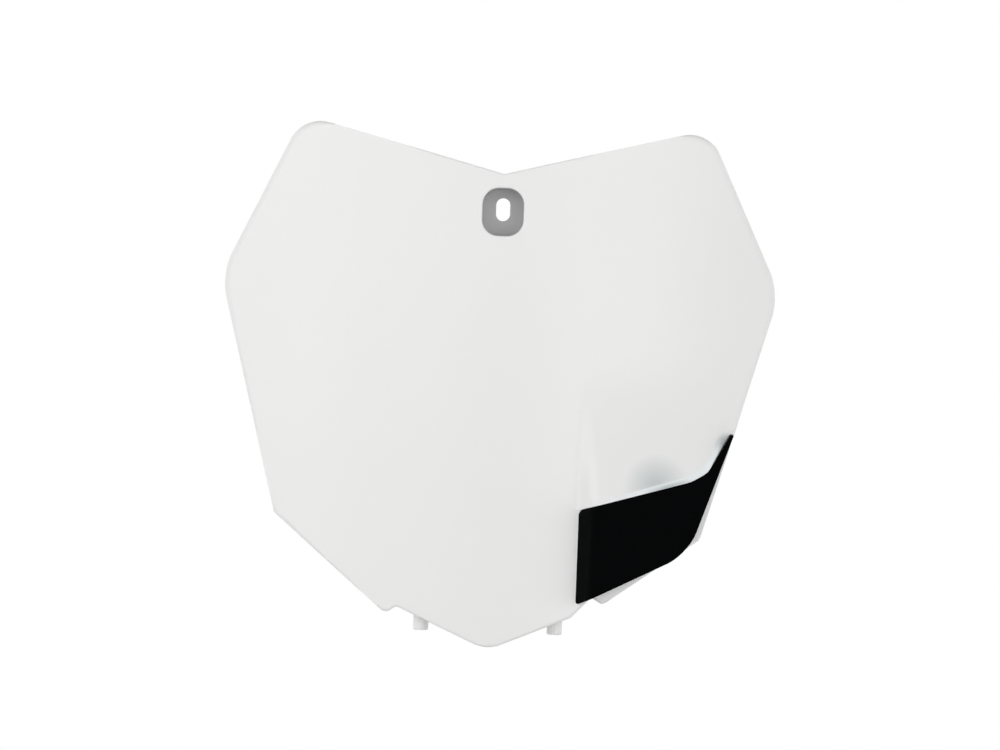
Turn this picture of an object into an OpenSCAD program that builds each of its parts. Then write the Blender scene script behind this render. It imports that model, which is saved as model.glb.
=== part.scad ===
// Front number plate for an off-road motorcycle: a curved shell and its brake hose cover.
// Frame: millimetres, +Z up, the front faces -Y, the origin is the centre of the bolt slot
// on the floor of the bolt pocket.

/* [Plate] */
// Width across the wings, measured to their unrounded corners
plate_w = 262; // [236:1:288]
// Height from the upper corners to the lower point
plate_h = 244; // [220:1:268]
// Radius of the face, which bends about an upright line
face_r = 240; // [220:5:300]
// Wall thickness of the plate
wall = 2; // [1.6:0.1:2.6]
// Depth of the edge turned back round the outline
edge_d = 8; // [5:0.5:11]
// Corner radius of the upper corners
top_r = 14.5; // [8:0.5:20]
// Corner radius of the wings
wing_r = 28; // [12:1:36]
// Corner radius of the lower point
point_r = 16; // [8:1:22]

/* [Bolt pocket] */
// Width of the pocket
pocket_w = 18.8; // [16:0.2:22]
// Height of the pocket
pocket_h = 21.8; // [19:0.2:25]
// Corner radius of the pocket
pocket_r = 7.5; // [6:0.5:9]
// Chamfer of the pocket's lip
pocket_lip = 1.2; // [0.4:0.1:1.6]
// Depth from the face to the pocket floor
pocket_d = 14; // [10:0.5:18]
// Thickness of the pocket floor
floor_t = 2.5; // [2:0.1:4]
// Width of the upright bolt slot
slot_w = 6.5; // [5.5:0.1:8.5]
// Height of the upright bolt slot
slot_h = 10.6; // [9:0.1:13]

/* [Pegs] */
// Diameter of the two lower pegs
peg_d = 7.1; // [5:0.1:9]
// Spacing of the two lower pegs
peg_span = 62; // [54:1:70]
// Length of a peg below its shelf
peg_l = 14; // [10:0.5:16]
// Distance of the peg axes behind the front of the face
peg_back = 16; // [15:0.5:20]
// Round of the peg ends
peg_round = 0.8; // [0.4:0.1:1.2]

/* [Hose hood and cover] */
// How far the hood and the cover stand out from the face
rise = 11.5; // [10:0.5:14]
// Radius of the front of the hood and the cover
hood_r = 200; // [180:5:210]
// Tilt of the hood towards its upper end
hood_tilt = 13; // [11:0.5:15]
// Slope of the left side wall, from the face
side_slope = 60; // [50:1:75]
// Wall thickness of the cover
cover_t = 2; // [1.6:0.1:2.6]
// Clearance between the cover and the plate
fit_gap = 0.3; // [0.2:0.05:0.5]
// Diameter of the cover's bosses
boss_d = 7; // [6:0.5:8]
// Diameter of the pins on the bosses
pin_d = 3.5; // [3:0.1:4]

/* [Hidden] */
arc_steps = 8;
face_fn = 360;
round_fn = 48;
far = 120;
wide = plate_w / 262;
tall = plate_h / 244;
face_y = face_r - pocket_d;
front_room = 4;
front_y = -pocket_d - rise - front_room;
back_y = 60;
side_x = 40.1 * wide;
pocket_drop = 1.5;
lip_drop = 1.5;
tab_t = 1.8;
pin_stand = 1.2;
pin_root = 3;
pin_slack = 1;
over = 1;
shelf_t = 2.5;
shelf_past = 1.5;
rib_t = 2;
rib_up = 18;
peg_end = -196 * tall;
ridge_x = side_x + rise / tan(side_slope);
ridge_a = asin(ridge_x / face_r);
hood_c = [0, face_y] + (face_r + rise - hood_r) * [sin(ridge_a), -cos(ridge_a)];

// Right half of the top, then the right side, each as [x, z, corner radius]
right_side = [
    [0, 16, 0.8],
    [94.5, 40.8, top_r],
    [131, -33.9, wing_r],
    [96.9, -149.9, 1.5],
    [52.6, -181, 2],
    [47.3, -177.9, 1],
    [38.2, -187.4, 2]
];
// The lower point and the left side, up to the left upper corner
left_side = [
    [0, -203.6, point_r],
    [-42.6, -185, 1.5],
    [-47.6, -188.5, 3.5],
    [-101.3, -144.2, 1.5],
    [-131, -33.9, wing_r],
    [-94.5, 40.8, top_r]
];
// Line where the hood ends and the cover begins, from left to right
split = [
    [40.1, -137.5, 2.5],
    [91.5, -122.9, 12],
    [99.3, -118.4, 8],
    [109.4, -100.4, 0.5],
    [111.1, -100.4, 0.6]
];
// Right side and lower edge of the cover
cover_low = [
    [91.4, -156.1, 26],
    [40.1, -181.5, 1.2]
];
boss_at = [[50.5, -147], [50.5, -168], [90.8, -138]];
// Tabs that reach up under the hood, each as [x, z, width, reach, root, turn]
tab_at = [
    [77, -126.7, 22, 12, 6, 16],
    [104.6, -107.8, 7, 3.4, 2.5, 61]
];
mouth_x = 78;

// Geometry of the outlines
function unit(v) = v / norm(v);
function flat(p) = [p[0], p[1]];
function placed(pts) = [for (p = pts) [p[0] * wide, p[1] * tall, p[2]]];
function arc_at(a, b, c, r) =
    let (u = unit(a - b), w = unit(c - b))
    let (half = acos(u * w) / 2)
    let (mid = b + unit(u + w) * r / sin(half))
    let (p = b + u * r / tan(half) - mid, q = b + w * r / tan(half) - mid)
    let (first = atan2(p[1], p[0]), turn = atan2(q[1], q[0]) - first)
    let (sweep = turn > 180 ? turn - 360 : turn < -180 ? turn + 360 : turn)
    [for (i = [0:arc_steps]) mid + r * [cos(first + sweep * i / arc_steps), sin(first + sweep * i / arc_steps)]];
function rounded(pts) =
    let (n = len(pts))
    [for (i = [0:n - 1], q = arc_at(flat(pts[(i + n - 1) % n]), flat(pts[i]), flat(pts[(i + 1) % n]), pts[i][2])) q];
function box_pts(w, h, r) = [[-w / 2, h / 2, r], [w / 2, h / 2, r], [w / 2, -h / 2, r], [-w / 2, -h / 2, r]];
function face_at(x) = face_y - sqrt(face_r * face_r - x * x);
function hood_at(x) = hood_c[1] - sqrt(hood_r * hood_r - pow(x - hood_c[0], 2));

outline = rounded(concat(placed(right_side), placed(left_side)));
cover_pts = rounded(concat(placed(split), placed(cover_low)));
split_mm = placed(split);
cover_mm = placed(cover_low);
hinge_a = [ridge_x, hood_at(ridge_x), split_mm[0][1]];
hinge_b = [split_mm[1][0], hood_at(split_mm[1][0]), split_mm[1][1]];

// Prism over a front outline, from one depth to another
module front(y0, y1) {
    translate([0, y1, 0])
        rotate([90, 0, 0])
            linear_extrude(y1 - y0)
                children();
}

// Upright cylinder concentric with the face
module face_round(r) {
    translate([0, face_y, -260 * tall])
        cylinder(h = 330 * tall, r = r, $fn = face_fn);
}

// Upright cylinder of the cover's front
module hood_round(r) {
    translate([hood_c[0], hood_c[1], -260 * tall])
        cylinder(h = 330 * tall, r = r, $fn = face_fn);
}

// Turns the cover's front back about the split line, for the hood
module tilted() {
    translate(hinge_a)
        rotate(a = -hood_tilt, v = hinge_b - hinge_a)
            translate(-hinge_a)
                children();
}

// Space to the right of the sloping left side, moved in by a wall
module right_of_side(inset) {
    foot = [side_x + inset / sin(side_slope), face_at(side_x)];
    lean = [-cos(side_slope), sin(side_slope)];
    translate([0, 0, -260 * tall])
        linear_extrude(330 * tall)
            polygon([foot - far * lean, foot + far * lean, [2 * far, foot[1] + far], [2 * far, foot[1] - far]]);
}

// Outline of the hood as seen from the front, open to the right
module hood_zone(drop) {
    polygon(concat(
        [[side_x - over, -60 * tall], [170 * wide, -60 * tall], [170 * wide, split_mm[4][1] - drop]],
        [for (i = [4:-1:1]) flat(split_mm[i]) - [0, drop]],
        [[side_x - over, split_mm[0][1] - drop]]
    ));
}

module hood_block() {
    difference() {
        intersection() {
            front(front_y, back_y) polygon(outline);
            front(front_y, back_y) difference() {
                hood_zone(0);
                offset(delta = fit_gap) polygon(cover_pts);
            }
            right_of_side(0);
            tilted() hood_round(hood_r);
        }
        face_round(face_r - wall);
    }
}

module hood_hollow() {
    intersection() {
        front(front_y, back_y) offset(delta = -wall) polygon(outline);
        front(front_y, back_y) hood_zone(lip_drop);
        right_of_side(wall);
        tilted() hood_round(hood_r - wall);
    }
}

module skin() {
    difference() {
        intersection() {
            front(front_y, back_y) polygon(outline);
            face_round(face_r);
        }
        face_round(face_r - wall);
    }
}

module turned_edge() {
    difference() {
        intersection() {
            front(front_y, back_y) difference() {
                polygon(outline);
                offset(delta = -wall) polygon(outline);
            }
            face_round(face_r);
        }
        face_round(face_r - edge_d);
    }
}

module pocket_shape(grow) {
    translate([0, -pocket_drop])
        polygon(rounded(box_pts(pocket_w + 2 * grow, pocket_h + 2 * grow, pocket_r + grow)));
}

// Pocket's opening with its chamfered lip
module pocket_mouth() {
    front(-pocket_d - over, 0) pocket_shape(0);
    hull() {
        front(-pocket_d - over, -pocket_d) pocket_shape(pocket_lip);
        front(-pocket_d - over, -pocket_d + pocket_lip) pocket_shape(0);
    }
}

module pocket_cup() {
    intersection() {
        front(-pocket_d, floor_t) pocket_shape(wall);
        face_round(face_r - wall / 2);
    }
}

module bolt_slot() {
    front(-over, floor_t + over)
        polygon(rounded(box_pts(slot_w, slot_h, slot_w / 2 - 0.02)));
}

module peg(side) {
    peg_y = peg_back - pocket_d;
    shelf_z = peg_end + peg_l;
    reach = peg_y + peg_d / 2 + shelf_past;
    half = peg_d / 2 + rib_t;
    translate([side * peg_span / 2, peg_y, peg_end + peg_round])
        cylinder(h = peg_l + shelf_t - peg_round, d = peg_d, $fn = round_fn);
    translate([side * peg_span / 2, peg_y, peg_end])
        cylinder(h = peg_round, d1 = peg_d - 2 * peg_round, d2 = peg_d, $fn = round_fn);
    intersection() {
        face_round(face_r - wall / 2);
        union() {
            translate([side * peg_span / 2 - half, -pocket_d, shelf_z])
                cube([2 * half, reach + pocket_d, shelf_t]);
            for (edge = [-half, half - rib_t])
                translate([side * peg_span / 2 + edge, 0, 0])
                    rotate([90, 0, 90])
                        linear_extrude(rib_t)
                            polygon([
                                [-pocket_d, shelf_z],
                                [reach, shelf_z],
                                [reach, shelf_z + shelf_t],
                                [-pocket_d + wall, shelf_z + rib_up],
                                [-pocket_d, shelf_z + rib_up]
                            ]);
        }
    }
}

module pin(at, d) {
    x = at[0] * wide;
    translate([x, face_at(x) - pin_root, at[1] * tall])
        rotate([-90, 0, 0])
            cylinder(h = pin_root + wall + pin_stand + pin_slack, d = d, $fn = round_fn);
}

module number_plate() {
    color("white")
        difference() {
            union() {
                skin();
                turned_edge();
                hood_block();
                pocket_cup();
                peg(-1);
                peg(1);
            }
            hood_hollow();
            pocket_mouth();
            bolt_slot();
            for (at = boss_at)
                pin(at, pin_d + 2 * fit_gap);
        }
}

// Inside of the cover as seen from the front, open at the top and at its lower mouth
module cover_inside() {
    offset(delta = -cover_t)
        polygon(rounded([
            [-far, 0, 0.1],
            [146.6 * wide, 0, 0.1],
            cover_mm[0],
            [-far, cover_mm[1][1] - far / 2, 0.1]
        ]));
    translate([-far, -220 * tall])
        square([mouth_x * wide + far, 100 * tall]);
}

module cover_tab(at) {
    intersection() {
        front(front_y, back_y)
            translate([at[0] * wide, at[1] * tall])
                rotate(at[5])
                    translate([-at[2] / 2, -at[4]])
                        square([at[2], at[3] + at[4]]);
        tilted()
            difference() {
                hood_round(hood_r - wall - fit_gap);
                hood_round(hood_r - wall - fit_gap - tab_t);
            }
    }
}

module hose_cover() {
    color("black")
        union() {
            difference() {
                intersection() {
                    front(front_y, back_y) polygon(cover_pts);
                    right_of_side(0);
                    hood_round(hood_r);
                }
                intersection() {
                    front(front_y, back_y) cover_inside();
                    right_of_side(cover_t);
                    hood_round(hood_r - cover_t);
                }
                face_round(face_r);
            }
            for (at = boss_at)
                difference() {
                    intersection() {
                        translate([at[0] * wide, front_y, at[1] * tall])
                            rotate([-90, 0, 0])
                                cylinder(h = back_y, d = boss_d, $fn = round_fn);
                        hood_round(hood_r - cover_t / 2);
                    }
                    face_round(face_r);
                }
            for (at = boss_at)
                pin(at, pin_d);
            for (at = tab_at)
                cover_tab(at);
        }
}

number_plate();
hose_cover();
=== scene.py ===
import bpy, bmesh, math
from mathutils import Matrix, Vector


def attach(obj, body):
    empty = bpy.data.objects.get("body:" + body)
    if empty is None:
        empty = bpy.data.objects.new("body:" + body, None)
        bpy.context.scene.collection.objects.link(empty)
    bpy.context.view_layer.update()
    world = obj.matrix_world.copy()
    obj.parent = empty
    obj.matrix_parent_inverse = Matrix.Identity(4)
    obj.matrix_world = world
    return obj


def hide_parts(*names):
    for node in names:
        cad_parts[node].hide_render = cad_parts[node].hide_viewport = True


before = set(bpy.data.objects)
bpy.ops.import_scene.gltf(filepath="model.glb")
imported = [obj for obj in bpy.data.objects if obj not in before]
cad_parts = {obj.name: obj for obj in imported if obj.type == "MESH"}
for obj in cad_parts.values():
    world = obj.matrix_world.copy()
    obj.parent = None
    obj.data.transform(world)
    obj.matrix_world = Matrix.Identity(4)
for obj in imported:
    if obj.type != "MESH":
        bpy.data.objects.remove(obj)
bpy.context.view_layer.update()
print("frame loaded")

# all sizes are millimetres and degrees, seen from the front: x to the right, z up, y to the back
fine = {    # how finely outlines and skins are divided, and what counts as one point
    "bigRadius": 6.0, "bigSegments": 12, "smallSegments": 5, "sharp": 40.0,
    "joinMerge": 0.02, "ringMerge": 0.13, "cutMerge": 0.05, "gridShiftX": 0.6, "gridShiftZ": 0.7,
}
plate = {
    "faceRadius": 240.0, "pocketDepth": 14.0, "wall": 1.9, "edgeDepth": 8.0,
    "rings": [0.15, 0.3, 0.45, 0.55, 0.55, 0.5, 0.55],      # widths of the rings that the rim rolls over
    "topRoll": 0.75, "sideRoll": 1.9, "wingRoll": 3.05, "lowRoll": 0.5, "pocketRoll": 1.1,
    "sideSpan": (76.0, 92.0), "wingSpan": (-66.0, -36.0), "lowSpan": (-60.0, -110.0),       # where the rolls change
    "rightSide": [(94.5, 40.8, 14.5), (131.0, -33.9, 28.0), (96.9, -149.9, 2.2), (52.6, -181.0, 2.4),
                  (47.3, -177.9, 1.0), (38.2, -187.4, 2.4)],
    "leftSide": [(-94.5, 40.8, 14.5), (-131.0, -33.9, 28.0), (-101.3, -144.2, 2.3), (-47.6, -188.5, 3.5),
                 (-42.6, -185.0, 1.5)],
    "notchZ": 16.0, "pointZ": -202.2, "pointX": 3.27, "pointRadius": 14.4,
    "grid": 4.0, "gridBox": (-132, 132, -206, 44), "rimFar": 9.0, "rimWindowX": 40.0, "rimWindowZ": 60.0,
}
pocket = {
    "width": 18.8, "height": 21.8, "radius": 7.5, "centreZ": -1.5, "slotWidth": 6.5, "slotHeight": 10.6,
    "zoneX": 14.0, "zoneZ": 16.0,
    "wallSteps": [(0, -1.0), (0.12, -0.5), (0.4, -0.15), (0.9, 0.0)],       # how far in, and y
    "floorSteps": [(0.35, 0.0), (0.93, 0.0), (1.0, 0.25)],                  # share of the way to the slot, and y
}
hood = {
    "sideX": 40.1, "ridgeX": 46.74, "rise": 11.5, "radius": 200.0, "sideSlope": 57.0, "startGap": 3.0,
    "tilt": 13.0, "rightTilt": 4.0, "tiltSpan": (50.0, 115.0), "ridgeRound": 8.0, "topRound": 4.0,
    "hingeZ": -137.5, "hingeRise": 0.326,
    "split": [(40.1, -137.4), (90.1, -123.2), (92.8, -122.1), (97.4, -119.4), (99.1, -118.1), (100.4, -116.4),
              (109.4, -100.3), (111.2, -100.1), (140.0, -100.1)],
    "slot": 1.9, "slotStartX": 42.6, "slotRim": 1.85,
    "lipWidth": 2.7, "lipOut": 0.9, "lipRound": 0.55, "lipLow": -0.01, "lipSpan": (48.0, 62.0), "lipRise": 4.0,
    # the tone keys set where the painted highlight lies along the hood's lip
    "toneLow": -0.2, "toneEnd": (102.5, 105.5), "toneBand": (1.6, 2.4), "toneWidenX": 50.0, "toneWiden": 60.0,
    "sideCuts": [37.6, 38.6, 39.4, 40.1, 40.9, 41.9, 43.2, 44.4, 45.8, 47.2, 48.4, 49.7, 51.4, 53.4],
    "sideBox": (34, 56, -150, -66),
    "splitCuts": [0.0, 0.12, 0.35, 0.7, 1.2, 1.8, 2.3, 2.7, 3.4], "cutMarginX": 4, "cutMarginZ": 6,
}
cover = {
    "outline": [(40.1, -137.5, 2.5), (91.5, -122.9, 12.0), (99.3, -118.4, 8.0), (109.4, -100.4, 0.5),
                (111.1, -100.4, 0.6), (91.4, -156.1, 26.0), (40.1, -181.5, 1.2)],
    "rings": [0.1, 0.2, 0.35], "grid": 3.0, "gridBox": (40, 112, -183, -99), "sideCuts": [42.0, 43.4, 45.2, 46.8, 48.4],
    "roll": 0.68, "ridgeRound": 2.4, "wall": 1.8, "thinSpan": (97.0, 111.0), "thinBy": 0.75, "merge": 0.04,
    "seatGap": 0.05, "lipDepth": 2.4, "openAbove": -1.2, "openToX": 109.2, "mouthX": 78.0, "mouthZ": -150.0,
    "bosses": [(50.5, -147.0), (50.5, -168.0), (90.8, -138.0)], "boss": 7.0, "bossInto": 1.0, "bossGap": 0.02,
    "pin": 3.5, "pinInto": 1.0, "pinStand": 1.2, "pinRound": 0.5, "pinRoundOver": 0.1,
    "pinHole": 4.1, "holeBox": 6.0, "holeRing": 1.6,
    "tabs": [(77.0, -126.7, 22.0, 12.0, 4.0, 16.0),         # x, z, width, reach, root, turn
             (104.6, -107.8, 7.0, 3.4, 2.5, 61.0)],
    "tab": 1.6, "tabTaper": 0.25, "taperFrom": 3.0, "taperPast": 1.0, "rootSpan": (1.0, -2.0), "tabGap": 0.3,
    "tabInto": 0.4,
}


def smooth(low, high, value):
    t = max(0.0, min(1.0, (value - low) / (high - low)))
    return t * t * (3 - 2 * t)


def softMin(a, b, k):
    h = max(k - abs(a - b), 0.0) / k
    return min(a, b) - h * h * k * 0.25


def softMax(a, b, k):
    return -softMin(-a, -b, k)


def faceY(x):
    return plate["faceRadius"] - plate["pocketDepth"] - math.sqrt(plate["faceRadius"] ** 2 - x * x)


ridgeX = hood["ridgeX"]
ridgeAngle = math.asin(ridgeX / plate["faceRadius"])
hoodReach = plate["faceRadius"] + hood["rise"] - hood["radius"]
hoodCentreX = hoodReach * math.sin(ridgeAngle)
hoodCentreY = plate["faceRadius"] - plate["pocketDepth"] - hoodReach * math.cos(ridgeAngle)


def coverY(x):      # front of the cover, and of the hood along the split line
    return hoodCentreY - math.sqrt(hood["radius"] ** 2 - (x - hoodCentreX) ** 2)


def sideY(x):       # the sloping left side of the hood and the cover
    return faceY(hood["sideX"]) - (x - hood["sideX"]) * math.tan(math.radians(hood["sideSlope"]))


def hoodY(x, z):
    hinge = hood["hingeZ"] + (x - ridgeX) * hood["hingeRise"]
    tilt = hood["tilt"] + hood["rightTilt"] * smooth(*hood["tiltSpan"], x)
    back = coverY(x) + (z - hinge) * math.tan(math.radians(tilt))
    return softMax(back, sideY(x), hood["ridgeRound"])


def segmentDistance(point, a, b):
    along = b - a
    t = max(0.0, min(1.0, (point - a).dot(along) / along.length_squared))
    return (point - a - along * t).length


def splitDistance(x, z):    # how far a place is above the line where the hood ends
    best, sign = 1e9, 1
    pts = [Vector(p) for p in hood["split"]]
    for a, b in zip(pts, pts[1:]):
        d = segmentDistance(Vector((x, z)), a, b)
        if d < best - 1e-6:
            best, sign = d, 1 if (b - a).cross(Vector((x, z)) - a) > 0 else -1
    return best * sign


def shellY(x, z):
    flat = faceY(x)
    if x <= hood["sideX"] - hood["startGap"]:
        return flat
    raised = softMin(flat, hoodY(x, z), hood["topRound"])
    above = splitDistance(x, z)
    level = max(0.0, min(1.0, (above + hood["slot"]) / hood["slot"]))
    if above > hood["lipLow"]:
        grow = smooth(*hood["lipSpan"], x) * smooth(0.0, hood["lipRise"], flat - raised)
        raised -= grow * hood["lipOut"] * smooth(0.0, 1.0, 1 - above / hood["lipWidth"])
        if above < hood["lipRound"]:
            raised += grow * rollDepth(max(above, 0.0), hood["lipRound"])
    return flat + (raised - flat) * level


def lipShare(x, above):     # how much a place takes the painted highlight along the hood's lip
    if above <= hood["toneLow"]:
        return 0.0
    widen = (x - hood["toneWidenX"]) / hood["toneWiden"]
    low, high = hood["toneBand"]
    along = smooth(*hood["lipSpan"], x) * (1 - smooth(*hood["toneEnd"], x))
    return along * (1 - smooth(low + widen, high + widen, above))


def rollRadius(x, z):       # the rim is rounder round the wings than at the top and the bottom
    if abs(x) < pocket["zoneX"] and abs(z - pocket["centreZ"]) < pocket["zoneZ"]:
        return plate["pocketRoll"]
    side = smooth(*plate["sideSpan"], abs(x))
    up = smooth(*plate["wingSpan"], z)
    low = smooth(*plate["lowSpan"], z)
    sideGain = plate["sideRoll"] - plate["topRoll"] + up * (plate["wingRoll"] - plate["sideRoll"])
    return plate["topRoll"] + side * sideGain + plate["lowRoll"] * low * (1 - side)


def rollDepth(d, radius):
    return radius - math.sqrt(max(0.0, radius ** 2 - (radius - d) ** 2)) if d < radius else 0.0


def unique(items):      # each item once and always in the same order, which a set doesn't keep
    return list(dict.fromkeys(items))


def bevel(bm, geom, offset, segments, kind="EDGES"):
    bmesh.ops.bevel(bm, geom=unique(geom), offset=offset, offset_type="OFFSET", segments=segments, profile=0.5,
                    affect=kind, material=-1)


def roundedFace(bm, corners):
    verts = [bm.verts.new((x, 0, z)) for x, z, r in corners]
    bm.faces.new(verts)
    for v, (x, z, r) in zip(verts, corners):
        if r > 0:
            a, b = [(e.other_vert(v).co - v.co).normalized() for e in v.link_edges]
            segments = fine["bigSegments"] if r > fine["bigRadius"] else fine["smallSegments"]
            bevel(bm, [v], r / math.tan(a.angle(b) / 2), segments, "VERTICES")


def ringIn(bm, widths, count):      # rings inside the outline; corners that get too tight close to a point
    for width in widths:
        inner = sorted(bm.faces, key=lambda f: f.calc_area())[-count:]
        bmesh.ops.inset_region(bm, faces=inner, thickness=width, use_boundary=True, use_even_offset=True)
        bmesh.ops.remove_doubles(bm, verts=unique(v for f in inner for v in f.verts), dist=fine["ringMerge"])


def cut(bm, at, normal, faces=None):
    faces = faces if faces is not None else bm.faces[:]
    geom = unique([*faces, *(e for f in faces for e in f.edges), *(v for f in faces for v in f.verts)])
    bmesh.ops.bisect_plane(bm, geom=geom, dist=fine["cutMerge"], plane_co=at, plane_no=normal)


def gridCut(bm, step, lowX, highX, lowZ, highZ):
    for i in range(math.ceil(lowX / step), math.floor(highX / step) + 1):
        cut(bm, (i * step + fine["gridShiftX"], 0, 0), (1, 0, 0))
    for i in range(math.ceil(lowZ / step), math.floor(highZ / step) + 1):
        cut(bm, (0, 0, i * step + fine["gridShiftZ"]), (0, 0, 1))


def facesNear(bm, lowX, highX, lowZ, highZ):
    found = []
    for f in bm.faces:
        c = f.calc_center_median()
        if lowX < c.x < highX and lowZ < c.z < highZ:
            found.append(f)
    return found


def borderOf(bm):
    return [(e.verts[0].co.copy(), e.verts[1].co.copy()) for e in bm.edges if e.is_boundary]


def rimDistance(point, border):
    best = plate["rimFar"]
    for a, b in border:
        if abs(a.x - point.x) < plate["rimWindowX"] and abs(a.z - point.z) < plate["rimWindowZ"]:
            best = min(best, segmentDistance(point, a, b))
    return best


def borderLoops(bm):
    left = dict.fromkeys(e for e in bm.edges if e.is_boundary)
    loops = []
    while left:
        edge = next(iter(left))
        left.pop(edge)
        loop, grow = [edge], [edge]
        while grow:
            e = grow.pop()
            for v in e.verts:
                for n in v.link_edges:
                    if n in left:
                        left.pop(n)
                        loop.append(n)
                        grow.append(n)
        loops.append(loop)
    return loops


def loopSpan(loop):
    xs = [v.co.x for e in loop for v in e.verts]
    return max(xs) - min(xs)


def pick(grown, kind):
    return [g for g in grown["geom"] if isinstance(g, kind)]


def extrude(bm, edges):     # new edges and points that start where the old ones are
    grown = bmesh.ops.extrude_edge_only(bm, edges=edges)
    return pick(grown, bmesh.types.BMEdge), pick(grown, bmesh.types.BMVert)


def turnToFront(bm):
    bmesh.ops.recalc_face_normals(bm, faces=bm.faces[:])
    if sum(f.normal.y * f.calc_area() for f in bm.faces) > 0:
        bmesh.ops.reverse_faces(bm, faces=bm.faces[:])


def pinHole(bm, x, z, radius):
    reach = cover["holeBox"]
    block = facesNear(bm, x - reach, x + reach, z - reach, z + reach)
    whole = bmesh.ops.dissolve_faces(bm, faces=block)["region"]
    bmesh.ops.inset_region(bm, faces=whole, thickness=cover["holeRing"], use_boundary=True, use_even_offset=True)
    hub = Vector((x, 0, z))
    for v in whole[0].verts:
        v.co = hub + (v.co - hub).normalized() * radius
    bmesh.ops.delete(bm, geom=whole, context="FACES")


def place(name, data):
    thing = bpy.data.objects.new(name, data)
    bpy.context.scene.collection.objects.link(thing)
    return thing


def shadeSmooth(mesh):
    mesh.polygons.foreach_set("use_smooth", [True] * len(mesh.polygons))
    mesh.set_sharp_from_angle(angle=math.radians(fine["sharp"]))


def finishPiece(bm, name, nodes):     # from millimetres to metres, and into the frame
    bmesh.ops.scale(bm, vec=(0.001,) * 3, verts=bm.verts[:])
    mesh = bpy.data.meshes.new(name)
    bm.to_mesh(mesh)
    bm.free()
    shadeSmooth(mesh)
    piece = place(name, mesh)
    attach(piece, "root")
    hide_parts(*nodes)
    return piece


def addWall(piece, thickness, share=None):      # gives a skin its inner wall, thinner where share says so
    wall = piece.modifiers.new("wall", "SOLIDIFY")
    wall.thickness = thickness * 0.001
    wall.offset = -1
    wall.use_quality_normals = True
    if share:
        group = piece.vertex_groups.new(name="wall")
        for v in piece.data.vertices:
            group.add([v.index], share(v.co.x * 1000), "REPLACE")
        wall.vertex_group = "wall"
    solid = bpy.data.meshes.new_from_object(piece.evaluated_get(bpy.context.evaluated_depsgraph_get()))
    piece.modifiers.clear()
    piece.data = solid
    solid.name = piece.name
    shadeSmooth(solid)


# the plate: two half outlines joined at the middle, rounded, ringed and gridded, then bent to the face
def halfCorners(side, sign):
    p, k = plate, pocket
    top, low = k["centreZ"] + k["height"] / 2, k["centreZ"] - k["height"] / 2
    half = k["width"] / 2
    return ([(0, p["notchZ"], 0)] + side
            + [(sign * p["pointX"], p["pointZ"], p["pointRadius"]), (0, p["pointZ"], 0), (0, low, 0),
               (sign * half, low, k["radius"]), (sign * half, top, k["radius"]), (0, top, 0)])


def cutHood(bm):        # finer strips along the hood's side and its split line
    for x in hood["sideCuts"]:
        cut(bm, (x, 0, 0), (1, 0, 0), facesNear(bm, *hood["sideBox"]))
    pts, wide, high = hood["split"], hood["cutMarginX"], hood["cutMarginZ"]
    for (xa, za), (xb, zb) in zip(pts, pts[1:]):
        up = Vector((za - zb, 0, xb - xa)).normalized()
        for off in (-hood["slot"], *hood["splitCuts"]):
            strip = facesNear(bm, xa - wide, xb + wide, min(za, zb) - high, max(za, zb) + high)
            cut(bm, Vector((xa, 0, za)) + up * off, up, strip)


def openSlot(bm, border):       # the gap below the hood, which the tabs reach through
    gone = []
    for f in bm.faces:
        c = f.calc_center_median()
        if c.x > hood["slotStartX"] and -hood["slot"] < splitDistance(c.x, c.z) < 0:
            if min(rimDistance(v.co, border) for v in f.verts) > hood["slotRim"]:
                gone.append(f)
    bmesh.ops.delete(bm, geom=gone, context="FACES")
    return len(gone)


def makeFace():
    bm = bmesh.new()
    roundedFace(bm, halfCorners(plate["rightSide"], 1))
    roundedFace(bm, halfCorners(plate["leftSide"], -1))
    bmesh.ops.remove_doubles(bm, verts=bm.verts[:], dist=fine["joinMerge"])
    bmesh.ops.recalc_face_normals(bm, faces=bm.faces[:])
    border = borderOf(bm)
    ringIn(bm, plate["rings"], 2)
    gridCut(bm, plate["grid"], *plate["gridBox"])
    cutHood(bm)
    gone = openSlot(bm, border)
    for x, z in cover["bosses"]:
        pinHole(bm, x, z, cover["pinHole"] / 2)
    # share of the painted highlight along the hood's lip, kept on each point
    lip = bm.verts.layers.float.new("lip")
    for v in bm.verts:
        x, z = v.co.x, v.co.z
        v.co.y = shellY(x, z) + rollDepth(rimDistance(v.co, border), rollRadius(x, z))
        v[lip] = lipShare(x, splitDistance(x, z))
    print("face cut:", gone, "faces out for the slot,", len(bm.faces), "left")
    return bm


def slotPoint(direction):   # where a ray from the middle meets the bolt slot's outline
    half, straight = pocket["slotWidth"] / 2, (pocket["slotHeight"] - pocket["slotWidth"]) / 2
    x, z = direction
    if abs(z) * half <= straight * abs(x):
        return half * math.copysign(1, x), z * half / abs(x)
    unit = Vector((x, z)).normalized()
    centre = Vector((0, math.copysign(straight, z)))
    along = unit.dot(centre)
    reach = along + math.sqrt(max(0.0, along * along - centre.length_squared + half * half))
    return unit.x * reach, unit.y * reach


shell = makeFace()
loops = sorted(borderLoops(shell), key=loopSpan)
rim = loops[-1]
ring = min(loops, key=lambda l: abs(loopSpan(l) - pocket["width"]))

edges, points = extrude(shell, rim)                         # the edge turned back round the outline
for v in points:
    v.co.y = faceY(v.co.x) + plate["edgeDepth"]

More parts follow.
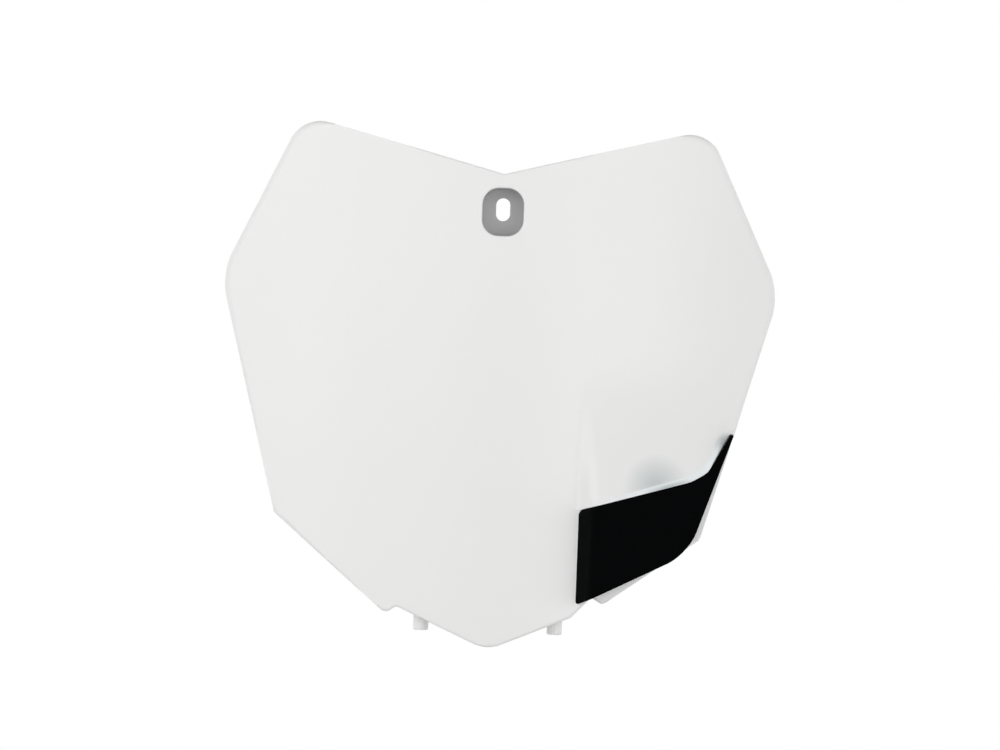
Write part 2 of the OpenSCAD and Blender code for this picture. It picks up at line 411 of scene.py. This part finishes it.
for inset, y in pocket["wallSteps"]:                        # the pocket's wall
    ring, points = extrude(shell, ring)
    for v in points:
        v.co.x *= 1 - 2 * inset / pocket["width"]
        v.co.z = pocket["centreZ"] + (v.co.z - pocket["centreZ"]) * (1 - 2 * inset / pocket["height"])
        v.co.y = y
for near, y in pocket["floorSteps"]:                        # its floor and the slot
    ring, points = extrude(shell, ring)
    for v in points:
        x, z = slotPoint((v.co.x, v.co.z))
        v.co = (v.co.x + (x - v.co.x) * near, y, v.co.z + (z - v.co.z) * near)
turnToFront(shell)
plateShell = finishPiece(shell, "plateShell", ["number_plate"])
addWall(plateShell, plate["wall"])
print("plate shell made,", len(plateShell.data.polygons), "faces")


# the two lower pegs, each under a shelf with two ribs behind the face
pegs = {
    "diameter": 7.1, "span": 62.0, "length": 14.0, "back": 16.0, "end": -196.0, "round": 0.8, "into": 1,
    "shelf": 2.5, "shelfPast": 1.5, "shelfRound": 0.4, "frontInto": 0.9, "frontSpan": 1,
    "rib": 2.0, "ribUp": 18.0, "ribGap": 0.05, "ribInto": 0.3, "ribShort": 0.5, "ribTop": 1.2, "ribRound": 0.3,
}


def makePegs():
    bm = bmesh.new()
    y = pegs["back"] - plate["pocketDepth"]
    shelfZ = pegs["end"] + pegs["length"]
    shelfTop, ribTop = shelfZ + pegs["shelf"], shelfZ + pegs["ribUp"]
    half = pegs["diameter"] / 2 + pegs["rib"]
    reach = y + pegs["diameter"] / 2 + pegs["shelfPast"]
    for side in (-1, 1):
        x = side * pegs["span"] / 2
        long = pegs["length"] + pegs["into"]
        made = bmesh.ops.create_cone(bm, cap_ends=True, segments=48, radius1=pegs["diameter"] / 2,
                                     radius2=pegs["diameter"] / 2, depth=long)["verts"]
        bmesh.ops.translate(bm, vec=(x, y, pegs["end"] + long / 2), verts=made)
        foot = [e for v in made for e in v.link_edges if all(abs(w.co.z - pegs["end"]) < 0.01 for w in e.verts)]
        bevel(bm, foot, pegs["round"], 4)
        made = bmesh.ops.create_cube(bm, size=1)["verts"]
        front = faceY(x) + pegs["frontInto"]
        bmesh.ops.scale(bm, vec=(2 * half, reach - front, pegs["shelf"]), verts=made)
        bmesh.ops.translate(bm, vec=(x, (reach + front) / 2, shelfZ + pegs["shelf"] / 2), verts=made)
        free = [e for v in made for e in v.link_edges if any(w.co.y > front + pegs["frontSpan"] for w in e.verts)]
        bevel(bm, free, pegs["shelfRound"], 2)
        for left in (x - half + pegs["ribGap"], x + half - pegs["rib"] - pegs["ribGap"]):
            low, back = shelfZ + pegs["ribInto"], reach - pegs["ribShort"]
            profile = [(front, low), (back, low), (back, shelfTop), (front + pegs["ribTop"], ribTop), (front, ribTop)]
            face = bm.faces.new([bm.verts.new((left, py, pz)) for py, pz in profile])
            tips = pick(bmesh.ops.extrude_face_region(bm, geom=[face]), bmesh.types.BMVert)
            bmesh.ops.translate(bm, vec=(pegs["rib"], 0, 0), verts=tips)
            top = [e for v in tips for e in v.link_edges if all(w.co.z > shelfTop - 0.1 for w in e.verts)]
            bevel(bm, top, pegs["ribRound"], 2)
    bmesh.ops.recalc_face_normals(bm, faces=bm.faces[:])
    return bm


lowerPegs = finishPiece(makePegs(), "lowerPegs", ["number_plate"])
print("pegs made")


# the hose cover: its own outline, rolled over at the rim, seated on the face at the right and open above and below
def makeCover():
    bm = bmesh.new()
    roundedFace(bm, cover["outline"])
    bmesh.ops.recalc_face_normals(bm, faces=bm.faces[:])
    border = borderOf(bm)
    ringIn(bm, cover["rings"], 1)
    gridCut(bm, cover["grid"], *cover["gridBox"])
    for x in cover["sideCuts"]:
        cut(bm, (x, 0, 0), (1, 0, 0))
    for v in bm.verts:
        x, z = v.co.x, v.co.z
        front = softMax(coverY(x), sideY(x), cover["ridgeRound"])
        v.co.y = min(front + rollDepth(rimDistance(v.co, border), cover["roll"]), faceY(x) - cover["seatGap"])
    rimEdges = [e for e in bm.edges if e.is_boundary]
    for depth in (0.5, 1.0):
        rimEdges, points = extrude(bm, rimEdges)
        for v in points:
            x, z = v.co.x, v.co.z
            seat = faceY(x) - cover["seatGap"]
            openAbove = splitDistance(x, z) > cover["openAbove"] and x < cover["openToX"]
            openBelow = x < cover["mouthX"] and z < cover["mouthZ"]
            end = min(seat, coverY(x) + cover["roll"] + cover["lipDepth"]) if openAbove or openBelow else seat
            v.co.y += (max(end, v.co.y) - v.co.y) * depth
    bmesh.ops.remove_doubles(bm, verts=bm.verts[:], dist=cover["merge"])
    turnToFront(bm)
    return bm


hoseCover = finishPiece(makeCover(), "hoseCover", ["hose_cover"])
addWall(hoseCover, cover["wall"], lambda x: 1 - cover["thinBy"] * smooth(*cover["thinSpan"], x))
print("hose cover made,", len(hoseCover.data.polygons), "faces")


def makeFixings():      # bosses behind the cover, and pins through the plate
    bm = bmesh.new()
    turn = Matrix.Rotation(math.radians(-90), 3, "X")
    for x, z in cover["bosses"]:
        boss = (cover["boss"], coverY(x) + cover["bossInto"], faceY(x) - cover["bossGap"], 0.0)
        pinEnd = faceY(x) + plate["wall"] + cover["pinStand"] + cover["pinRoundOver"]
        pin = (cover["pin"], faceY(x) - cover["pinInto"], pinEnd, cover["pinRound"])
        for size, start, end, tipRound in (boss, pin):
            made = bmesh.ops.create_cone(bm, cap_ends=True, segments=32, radius1=size / 2, radius2=size / 2,
                                         depth=end - start)["verts"]
            bmesh.ops.rotate(bm, cent=(0, 0, 0), matrix=turn, verts=made)
            bmesh.ops.translate(bm, vec=(x, (start + end) / 2, z), verts=made)
            if tipRound:
                tip = [e for v in made for e in v.link_edges if all(abs(w.co.y - end) < 0.01 for w in e.verts)]
                bevel(bm, tip, tipRound, 3)
    bmesh.ops.recalc_face_normals(bm, faces=bm.faces[:])
    return bm


def makeTabs():         # tongues of the cover that reach up behind the hood
    bm = bmesh.new()
    for x, z, width, reach, root, turn in cover["tabs"]:
        made = bmesh.ops.create_grid(bm, x_segments=12, y_segments=8, size=0.5)["verts"]
        c, s = math.cos(math.radians(turn)), math.sin(math.radians(turn))
        for v in made:
            u, w = v.co.x * width, -root + (v.co.y + 0.5) * (root + reach)
            u *= 1 - cover["tabTaper"] * smooth(reach - cover["taperFrom"], reach + cover["taperPast"], w)
            px, pz = x + u * c - w * s, z + u * s + w * c
            back = hoodY(px, pz) + plate["wall"] + cover["tabGap"]
            rooted = coverY(px) + cover["wall"] - cover["tabInto"]
            v.co = (px, back + (rooted - back) * smooth(*cover["rootSpan"], w), pz)
    turnToFront(bm)
    bmesh.ops.solidify(bm, geom=bm.faces[:], thickness=cover["tab"])
    return bm


coverFixings = finishPiece(makeFixings(), "coverFixings", ["hose_cover"])
coverTabs = finishPiece(makeTabs(), "coverTabs", ["hose_cover"])
print("bosses, pins and tabs made")


def combine(nodes, links, operation, *values):
    node = nodes.new("ShaderNodeMath")
    node.operation = operation
    for socket, value in zip(node.inputs, values):
        if isinstance(value, (int, float)):
            socket.default_value = value
        else:
            links.new(value, socket)
    return node.outputs[0]


def mapRange(nodes, links, value, fromSpan, toSpan=(0.0, 1.0), kind="LINEAR"):
    node = nodes.new("ShaderNodeMapRange")
    node.interpolation_type = kind
    for socket, end in zip(("From Min", "From Max", "To Min", "To Max"), (*fromSpan, *toSpan)):
        node.inputs[socket].default_value = end
    links.new(value, node.inputs["Value"])
    return node.outputs["Result"]


# shared finish: what any moulded surface has, as a tone, a roughness and a height that change over it
finish = {"cloudDetail": 3.0, "hazeScale": 34.0, "hazeDetail": 5.0, "grainDetail": 2.0, "bumpDepth": 0.0002}


def makeMouldedGroup():
    group = bpy.data.node_groups.new("mouldedSurface", "ShaderNodeTree")
    for name, value in (("Mottle Scale", 9.0), ("Grain Scale", 600.0), ("Mottle", 0.02), ("Rough", 0.3),
                        ("Rough Spread", 0.06)):
        socket = group.interface.new_socket(name=name, in_out="INPUT", socket_type="NodeSocketFloat")
        socket.default_value = value
    for name in ("Tone", "Roughness", "Height"):
        group.interface.new_socket(name=name, in_out="OUTPUT", socket_type="NodeSocketFloat")
    nodes, links = group.nodes, group.links
    start, end = nodes.new("NodeGroupInput"), nodes.new("NodeGroupOutput")
    where = nodes.new("ShaderNodeTexCoord")

    def noise(scale, detail):
        tex = nodes.new("ShaderNodeTexNoise")
        links.new(where.outputs["Object"], tex.inputs["Vector"])
        if isinstance(scale, str):
            links.new(start.outputs[scale], tex.inputs["Scale"])
        else:
            tex.inputs["Scale"].default_value = scale
        tex.inputs["Detail"].default_value = detail
        return tex.outputs["Fac"]

    def spread(value, amount, middle):      # noise about a middle value
        around = combine(nodes, links, "SUBTRACT", value, 0.5)
        return combine(nodes, links, "ADD", combine(nodes, links, "MULTIPLY", around, start.outputs[amount]), middle)

    links.new(spread(noise("Mottle Scale", finish["cloudDetail"]), "Mottle", 1.0), end.inputs["Tone"])
    haze = noise(finish["hazeScale"], finish["hazeDetail"])
    links.new(spread(haze, "Rough Spread", start.outputs["Rough"]), end.inputs["Roughness"])
    links.new(noise("Grain Scale", finish["grainDetail"]), end.inputs["Height"])
    return group


moulded = makeMouldedGroup()
white = {
    "colour": (0.80, 0.80, 0.795), "rough": 0.3, "roughSpread": 0.08, "mottle": 0.035, "mottleScale": 9.0,
    "grainScale": 420.0, "grain": 0.05, "specular": 0.5,
    # the lip's tone is a painted highlight along the hood's lip
    "frontTurn": (-0.3, -0.7), "lipTone": (0.82, 0.86, 0.87), "shadowTone": (0.27, 0.33, 0.335),
    # painted shade: soft dark spots over the cover's tabs, and a thin strip along the lip's edge
    "shadow": [((0.0752, 0, -0.1250), 16.0, (0.0155, 1, 0.0150), 0.85, 0.50),      # place, turn, size, full, depth
               ((0.1068, 0, -0.1046), 61.0, (0.0060, 1, 0.0046), 0.9, 0.8)],
    "lipShadow": ((0.0815, 0, -0.1256), 16.0, (0.0130, 1, 0.0024), 0.7, 0.55),
    # the pocket's spot, turn and inward mark where the bolt pocket gets painted shade and a duller roughness; its tone
    # is that painted shade
    "pocketSpot": ((0, -0.007, -0.0015), 0, (0.03, 0.014, 0.03), 0.2, 1.0), "pocketTurn": (0.5, 0.2),
    "pocketInward": (0.02, -0.06), "pocketShadeTone": (0.49, 0.485, 0.49), "pocketRough": 0.5,
}
black = {
    "colour": (0.0006, 0.0008, 0.0010), "rough": 0.55, "roughSpread": 0.12, "mottle": 0.5, "mottleScale": 60.0,
    "grainScale": 1500.0, "grain": 0.18, "specular": 0.02,
}


def mouldedMaterial(name, look):
    mat = bpy.data.materials.new(name)
    mat.use_nodes = True
    nodes, links = mat.node_tree.nodes, mat.node_tree.links
    shader = nodes["Principled BSDF"]
    shader.inputs["Specular IOR Level"].default_value = look["specular"]
    surface = nodes.new("ShaderNodeGroup")
    surface.node_tree = moulded
    for key, socket in (("mottleScale", "Mottle Scale"), ("grainScale", "Grain Scale"), ("mottle", "Mottle"),
                        ("rough", "Rough"), ("roughSpread", "Rough Spread")):
        surface.inputs[socket].default_value = look[key]
    tone = nodes.new("ShaderNodeMix")
    tone.data_type = "RGBA"
    tone.blend_type = "MULTIPLY"
    tone.inputs[0].default_value = 1.0
    tone.inputs[6].default_value = look["colour"] + (1,)
    links.new(surface.outputs["Tone"], tone.inputs[7])
    links.new(tone.outputs[2], shader.inputs["Base Color"])
    links.new(surface.outputs["Roughness"], shader.inputs["Roughness"])
    bump = nodes.new("ShaderNodeBump")
    bump.inputs["Strength"].default_value = look["grain"]
    bump.inputs["Distance"].default_value = finish["bumpDepth"]
    links.new(surface.outputs["Height"], bump.inputs["Height"])
    links.new(bump.outputs["Normal"], shader.inputs["Normal"])
    return mat, tone.outputs[2]


def makeWhite():
    mat, colour = mouldedMaterial("glossWhite", white)
    nodes, links = mat.node_tree.nodes, mat.node_tree.links
    shader = nodes["Principled BSDF"]
    where = nodes.new("ShaderNodeTexCoord")
    sides = nodes.new("ShaderNodeSeparateXYZ")
    links.new(where.outputs["Normal"], sides.inputs["Vector"])

    def spot(at, turn, size, full, depth):      # 1 at a place and less with distance from it
        put = nodes.new("ShaderNodeMapping")
        put.vector_type = "TEXTURE"
        put.inputs["Location"].default_value = at
        put.inputs["Rotation"].default_value = (0, -math.radians(turn), 0)
        put.inputs["Scale"].default_value = size
        links.new(where.outputs["Object"], put.inputs["Vector"])
        ball = nodes.new("ShaderNodeTexGradient")
        ball.gradient_type = "SPHERICAL"
        links.new(put.outputs["Vector"], ball.inputs["Vector"])
        return mapRange(nodes, links, ball.outputs["Fac"], (0.0, full), (0.0, depth)), put.outputs["Vector"]

    def blend(amount, under, over):
        mix = nodes.new("ShaderNodeMix")
        mix.data_type = "RGBA"
        links.new(amount, mix.inputs[0])
        links.new(under, mix.inputs[6])
        mix.inputs[7].default_value = over + (1,)
        return mix.outputs[2]

    def product(a, b):
        return combine(nodes, links, "MULTIPLY", a, b)

    front = mapRange(nodes, links, sides.outputs["Y"], white["frontTurn"])
    for patch in white["shadow"]:       # painted shade where the cover's black tabs would show through the thin hood
        colour = blend(product(spot(*patch)[0], front), colour, white["shadowTone"])
    lip = nodes.new("ShaderNodeAttribute")
    lip.attribute_name = "lip"
    # painted highlight: the hood's lip is lighter and bluer, as where it faces the light
    colour = blend(product(lip.outputs["Fac"], front), colour, white["lipTone"])
    # painted shade along the lip's edge, above the wide tab
    colour = blend(product(spot(*white["lipShadow"])[0], front), colour, white["shadowTone"])

    near, outward = spot(*white["pocketSpot"])      # inside the bolt pocket it is duller, and painted shade makes it greyer
    across = nodes.new("ShaderNodeVectorMath")
    across.operation = "DOT_PRODUCT"
    links.new(outward, across.inputs[0])
    links.new(where.outputs["Normal"], across.inputs[1])
    inward = mapRange(nodes, links, across.outputs["Value"], white["pocketInward"])
    inside = product(product(near, inward), mapRange(nodes, links, sides.outputs["Y"], white["pocketTurn"]))
    # painted shade: the pocket's wall and floor turn grey
    links.new(blend(inside, colour, white["pocketShadeTone"]), shader.inputs["Base Color"])
    dull = nodes.new("ShaderNodeMix")
    links.new(inside, dull.inputs[0])
    links.new(shader.inputs["Roughness"].links[0].from_socket, dull.inputs[2])
    dull.inputs[3].default_value = white["pocketRough"]
    links.new(dull.outputs[0], shader.inputs["Roughness"])
    return mat


glossWhite = makeWhite()
mattBlack = mouldedMaterial("mattBlack", black)[0]
for mat, pieces in ((glossWhite, (plateShell, lowerPegs)), (mattBlack, (hoseCover, coverFixings, coverTabs))):
    for piece in pieces:
        piece.data.materials.append(mat)
print("materials made")

# the studio is in metres: a tent that is light all round and dark overhead and below, so that edges which face
# up or down show, and soft lamps in front
studio = {
    "distance": 2.4, "lens": 186.4, "sensor": 36.0, "far": 100.0, "roll": 2.15, "aimX": 0.0014, "aimZ": -0.0766,
    "tentSpan": (0.15, 0.8), "tentSide": 1.5, "tentTop": 0.18,
    "lampAim": (0, 0, -0.08),
    "lamps": [("leftLamp", (-2.0, -1.15, 0.1), (1.6, 1.6), 5.9),
              ("frontLeftLamp", (-1.3, -2.3, 0.1), (2.0, 2.0), 5.3),
              ("frontRightLamp", (1.1, -2.0, -0.35), (1.4, 1.0), 7.6)],
    "floorZ": -0.5, "floorSize": 2.4, "floorColour": (0.8, 0.8, 0.8, 1), "floorRough": 0.9, "floorGlow": 0.4,
}
cam = bpy.data.cameras.new("camera")
cam.lens = studio["lens"]
cam.sensor_width = studio["sensor"]
cam.clip_end = studio["far"]
camera = place("camera", cam)
camera.location = (studio["aimX"], -studio["distance"], studio["aimZ"])
camera.rotation_euler = (math.radians(90), -math.radians(studio["roll"]), 0)
bpy.context.scene.camera = camera

for name, at, size, watts in studio["lamps"]:
    light = bpy.data.lights.new(name, "AREA")
    light.shape = "RECTANGLE"
    light.size, light.size_y = size
    light.energy = watts
    lamp = place(name, light)
    lamp.location = at
    lamp.rotation_euler = (Vector(studio["lampAim"]) - Vector(at)).to_track_quat("-Z", "Y").to_euler()
    lamp.visible_camera = False


def seenRays(nodes, links):     # 1 where the background is looked at: straight, in a shine or through something
    path = nodes.new("ShaderNodeLightPath")
    seen = path.outputs["Is Camera Ray"]
    for ray in ("Is Glossy Ray", "Is Transmission Ray"):
        seen = combine(nodes, links, "MAXIMUM", seen, path.outputs[ray])
    return seen


world = bpy.data.worlds.new("studioWorld")
bpy.context.scene.world = world
world.use_nodes = True
nodes, links = world.node_tree.nodes, world.node_tree.links
way = nodes.new("ShaderNodeTexCoord")
split = nodes.new("ShaderNodeSeparateXYZ")
links.new(way.outputs["Generated"], split.inputs["Vector"])
steep = combine(nodes, links, "ABSOLUTE", split.outputs["Z"])
tent = mapRange(nodes, links, steep, studio["tentSpan"], (studio["tentSide"], studio["tentTop"]), "SMOOTHSTEP")
strength = nodes.new("ShaderNodeMix")
links.new(seenRays(nodes, links), strength.inputs[0])
links.new(tent, strength.inputs[2])
strength.inputs[3].default_value = 1.0
links.new(strength.outputs[0], nodes["Background"].inputs["Strength"])
nodes["Background"].inputs["Color"].default_value = (1, 1, 1, 1)

floorBm = bmesh.new()
bmesh.ops.create_grid(floorBm, x_segments=1, y_segments=1, size=studio["floorSize"])
bmesh.ops.translate(floorBm, vec=(0, 0, studio["floorZ"]), verts=floorBm.verts[:])
floorMesh = bpy.data.meshes.new("floor")
floorBm.to_mesh(floorMesh)
floorBm.free()
floor = place("floor", floorMesh)
floorMat = bpy.data.materials.new("paleFloor")
floorMat.use_nodes = True
nodes, links = floorMat.node_tree.nodes, floorMat.node_tree.links
shader = nodes["Principled BSDF"]
shader.inputs["Base Color"].default_value = studio["floorColour"]
shader.inputs["Roughness"].default_value = studio["floorRough"]
shader.inputs["Emission Color"].default_value = (1, 1, 1, 1)
glow = combine(nodes, links, "MULTIPLY", seenRays(nodes, links), studio["floorGlow"])
links.new(glow, shader.inputs["Emission Strength"])
floorMesh.materials.append(floorMat)

bpy.context.scene.view_settings.view_transform = "Standard"
